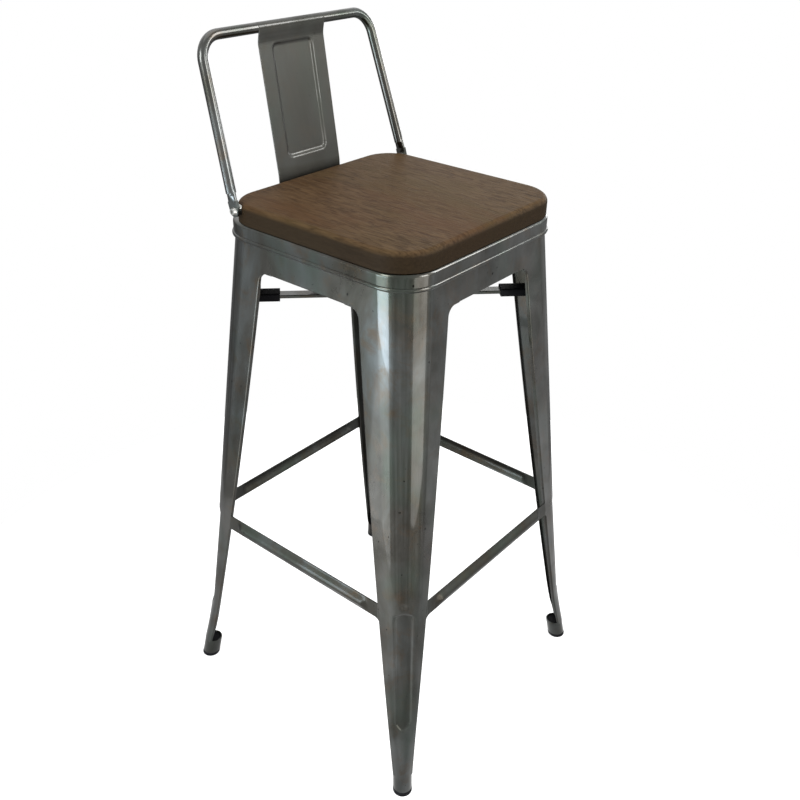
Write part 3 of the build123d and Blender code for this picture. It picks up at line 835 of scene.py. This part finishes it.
def splat_line():
    """The splat's middle line as (y, z) points: foot, bend up, upright, leaning sheet, way to the tube."""
    foot_z = FRAME_TOP + SHEET / 2 + 0.1
    bend = SPLAT_FOOT_BEND
    bend_y = SPLAT_BASE_Y - bend
    bend_z = foot_z + bend
    line = [(SPLAT_FOOT_Y, foot_z), (bend_y - 8.0, foot_z), (bend_y, foot_z)]
    for k in range(1, 6):
        turn = math.pi / 2 * k / 5
        line.append((bend_y + bend * math.sin(turn), foot_z + bend * (1 - math.cos(turn))))

    low = SPLAT_BEND_Z - SPLAT_BEND_REACH
    high = SPLAT_BEND_Z + SPLAT_BEND_REACH
    for k in range(1, 13):
        line.append((SPLAT_BASE_Y, bend_z + (low - bend_z) * k / 12))
    lean = (SPLAT_TOP_FLAT_Y - SPLAT_BASE_Y) / (SPLAT_TOP_FLAT_Z - SPLAT_BEND_Z)
    for k in range(1, 9):
        share = k / 8
        line.append((SPLAT_BASE_Y + lean * SPLAT_BEND_REACH * share ** 2, low + (high - low) * share))
    for k in range(1, SPLAT_ROWS + 1):
        z = high + (SPLAT_TOP_FLAT_Z - high) * k / SPLAT_ROWS
        line.append((SPLAT_BASE_Y + lean * (z - SPLAT_BEND_Z), z))

    end_y = tube_top_y() - TUBE_RADIUS + SHEET / 2
    length = SPLAT_TOP_Z - SPLAT_TOP_FLAT_Z
    for k in range(1, 15):
        share = k / 14
        steer = lean * length * (share ** 3 - 2 * share ** 2 + share)
        y = SPLAT_TOP_FLAT_Y + steer + (end_y - SPLAT_TOP_FLAT_Y) * smooth(share)
        line.append((y, SPLAT_TOP_FLAT_Z + length * share))
    return line


def splat_wrap():
    """Where the splat's top wraps over the tube: pairs of outer and inner (y, z) points, going up.

    It stands a little proud of the tube in the middle of the wrap and sinks into it at the end.
    """
    centre = Vector((tube_top_y(), TUBE_TOP_Z))
    steps = SPLAT_WRAP_STEPS
    pairs = []
    for k in range(1, steps + 1):
        turn = math.radians(SPLAT_WRAP_FROM + SPLAT_WRAP_SWEEP * k / steps)
        hump = math.sin(math.pi * min(k / (steps - 1), 1.0))
        proud = 0.22 * hump - 0.3 * smooth((k - steps + 3) / 3)
        spoke = Vector((-math.cos(turn), math.sin(turn)))
        pairs.append((centre + spoke * (TUBE_RADIUS + proud), centre + spoke * (TUBE_RADIUS - 1.2)))
    return pairs


def splat_columns():
    """Places across the splat, each with how much thinner the sheet is there than at its middle."""
    rim = ((0.0, 0.35), (0.12, 0.12), (0.4, 0.0))
    left = [(-SPLAT_HALF + away, thin) for away, thin in rim]
    right = [(SPLAT_HALF - away, thin) for away, thin in reversed(rim)]
    start, end = left[-1][0], right[0][0]
    flat = [(start + (end - start) * k / SPLAT_COLUMNS, 0.0) for k in range(1, SPLAT_COLUMNS)]
    return left + flat + right


def panel_press(x, z):
    """How far the splat's pressed panel lies behind its face: a rounded rectangle with sloping sides."""
    low, high = PANEL_Z
    half_x = PANEL_WIDTH / 2 - PANEL_CORNER
    half_z = (high - low) / 2 - PANEL_CORNER
    over_x = max(abs(x) - half_x, 0.0)
    over_z = max(abs(z - (low + high) / 2) - half_z, 0.0)
    inside = PANEL_CORNER - math.hypot(over_x, over_z)
    return PANEL_DEPTH * smooth(inside / PANEL_SLOPE)


def make_splat():
    """The pressed sheet of the backrest, swept across its middle line from edge to edge."""
    line = splat_line()
    path = []
    for i, (y, z) in enumerate(line):
        y0, z0 = line[max(i - 1, 0)]
        y1, z1 = line[min(i + 1, len(line) - 1)]
        run = Vector((y1 - y0, z1 - z0)).normalized()
        path.append((Vector((y, z)), Vector((run.y, -run.x))))
    wrap = splat_wrap()
    rings = []
    for x, thin in splat_columns():
        front = []
        rear = []
        for point, back in path:
            press = panel_press(x, point.y)
            for side, offset in ((front, -SHEET / 2 + thin), (rear, SHEET / 2 - thin)):
                spot = point + back * (offset + press)
                side.append((x, spot.x, spot.y))
        for outer, inner in wrap:
            toward = (inner - outer).normalized() * thin * 1.5
            front.append((x, outer.x + toward.x, outer.y + toward.y))
            rear.append((x, inner.x, inner.y))
        rings.append(front + list(reversed(rear)))
    skin = Skin()
    skin.loft(rings)
    skin.finish("splat_sheet", "gunmetal", ("back_splat",))


# ---------------------------------------------------------------- materials of the slots

materials = {
    "gunmetal": make_gunmetal(),
    "seat_wood": make_wood(),
    "rubber": make_rubber(),
    "zinc_steel": make_zinc(),
    "insert_brass": make_brass(),
}


# ---------------------------------------------------------------- materials of the CAD nodes

# The ones that a new piece replaces get theirs too, though they are hidden.
for part in frame["record"]["subparts"]:
    node = nodes[part["node"]]
    node.data.materials.clear()
    node.data.materials.append(materials[part["material_slot"]])


# ---------------------------------------------------------------- studio

def surroundings(n, direction):
    """Brightness of the dim, patchy room below the sky in a direction, by its bearing."""
    x, y, _ = n.split(direction)
    turn = n.span(n.math("ARCTAN2", y, x), 0.0, 1.0, -math.pi, math.pi)
    around = n.ramp(turn, [((degrees + 180.0) / 360.0, level) for degrees, level in SURROUNDINGS])
    patches = n.noise(direction, 7.0, detail=3.0)
    return n.mix(1.0, around, n.span(patches, 0.50, 1.50, 0.33, 0.67), "MULTIPLY")


def make_floor():
    """A round pale floor that glows a little, so that it stays near white right up to its edge.

    In the steel it is seen dimmer and patchy, like the rest of the room, and brighter to the left.
    """
    mesh = bpy.data.meshes.new("floor")
    turns = [math.tau * k / FLOOR_STEPS for k in range(FLOOR_STEPS)]
    rim = [(FLOOR_RADIUS * math.cos(turn), FLOOR_RADIUS * math.sin(turn), 0.0) for turn in turns]
    mesh.from_pydata(rim, [], [tuple(range(FLOOR_STEPS))])
    floor = bpy.data.objects.new("floor", mesh)
    bpy.context.scene.collection.objects.link(floor)
    s = Shader("floor_paper")
    seen = s.tree.nodes.new("ShaderNodeLightPath").outputs["Is Camera Ray"]
    paper = s.mix(seen, (0.15, 0.15, 0.15), (0.40, 0.40, 0.40))
    leftward = s.math("MULTIPLY", s.split(s.place)[0], -1.0 / FLOOR_RADIUS)
    spill = s.ramp(leftward, ((0.30, 0.0), (0.65, 0.45), (0.98, 1.6)))
    dim = s.mix(1.0, surroundings(s, s.place), (0.80, 0.80, 0.80), "MULTIPLY")
    dim = s.mix(1.0, dim, spill, "ADD")
    s.set(Base_Color=paper, Roughness=0.9, Specular_IOR_Level=0.0)
    s.set(Emission_Color=s.mix(seen, dim, WHITE), Emission_Strength=0.72)
    mesh.materials.append(s.material)


def make_world():
    """White where it is seen directly; as it lights the stool, an even sky above the uneven room."""
    world = bpy.data.worlds.new("studio")
    bpy.context.scene.world = world
    world.use_nodes = True
    n = Nodes(world.node_tree)
    direction = n.tree.nodes.new("ShaderNodeTexCoord").outputs["Generated"]
    low, high = (math.sin(math.radians(elevation)) for elevation in (SKY_FROM, SKY_FULL))
    height = n.span(n.split(direction)[2], 0.0, 1.0, low, high, "SMOOTHSTEP")
    lit = n.tree.nodes.new("ShaderNodeBackground")
    sky = (SKY_LEVEL, SKY_LEVEL, SKY_LEVEL)
    n.feed(lit.inputs["Color"], n.mix(height, surroundings(n, direction), sky))
    seen = n.tree.nodes.new("ShaderNodeBackground")
    n.feed(seen.inputs["Color"], WHITE)
    either = n.tree.nodes.new("ShaderNodeMixShader")
    n.link(n.tree.nodes.new("ShaderNodeLightPath").outputs["Is Camera Ray"], either.inputs[0])
    n.link(lit.outputs[0], either.inputs[1])
    n.link(seen.outputs[0], either.inputs[2])
    n.link(either.outputs[0], n.tree.nodes.new("ShaderNodeOutputWorld").inputs["Surface"])


def add_light(name, place, target, size, radiance, color):
    """A flat rectangular light that faces its target."""
    data = bpy.data.lights.new(name, "AREA")
    data.shape = "RECTANGLE"
    data.size, data.size_y = size
    data.energy = radiance * math.pi * size[0] * size[1]
    data.color = color
    light = bpy.data.objects.new(name, data)
    bpy.context.scene.collection.objects.link(light)
    light.location = place
    light.rotation_euler = (Vector(target) - Vector(place)).to_track_quat("-Z", "Y").to_euler()


def make_camera():
    """The photograph's viewpoint, with its slight roll."""
    data = bpy.data.cameras.new("camera")
    data.lens = CAMERA_LENS
    data.sensor_width = CAMERA_FILM
    data.clip_end = 50.0
    camera = bpy.data.objects.new("camera", data)
    bpy.context.scene.collection.objects.link(camera)
    yaw, pitch, roll = (math.radians(a) for a in (CAMERA_YAW, CAMERA_PITCH, CAMERA_ROLL))
    ahead = Vector((math.cos(pitch) * math.sin(yaw), math.cos(pitch) * math.cos(yaw), math.sin(pitch)))
    level = ahead.cross(Vector((0, 0, 1))).normalized()
    lift = level.cross(ahead)
    right = math.cos(roll) * level + math.sin(roll) * lift
    up = math.cos(roll) * lift - math.sin(roll) * level
    turn = Matrix((right, up, -ahead)).transposed().to_4x4()
    camera.matrix_world = Matrix.Translation(Vector(CAMERA_PLACE) * MM) @ turn
    bpy.context.scene.camera = camera


make_legs()
make_feet()
make_aprons()
make_rails()
make_frame()
make_splat()

make_floor()
make_world()
make_camera()
for light_row in LIGHTS:
    add_light(*light_row)

bpy.context.scene.view_settings.view_transform = "Standard"
bpy.context.scene.view_settings.look = "None"
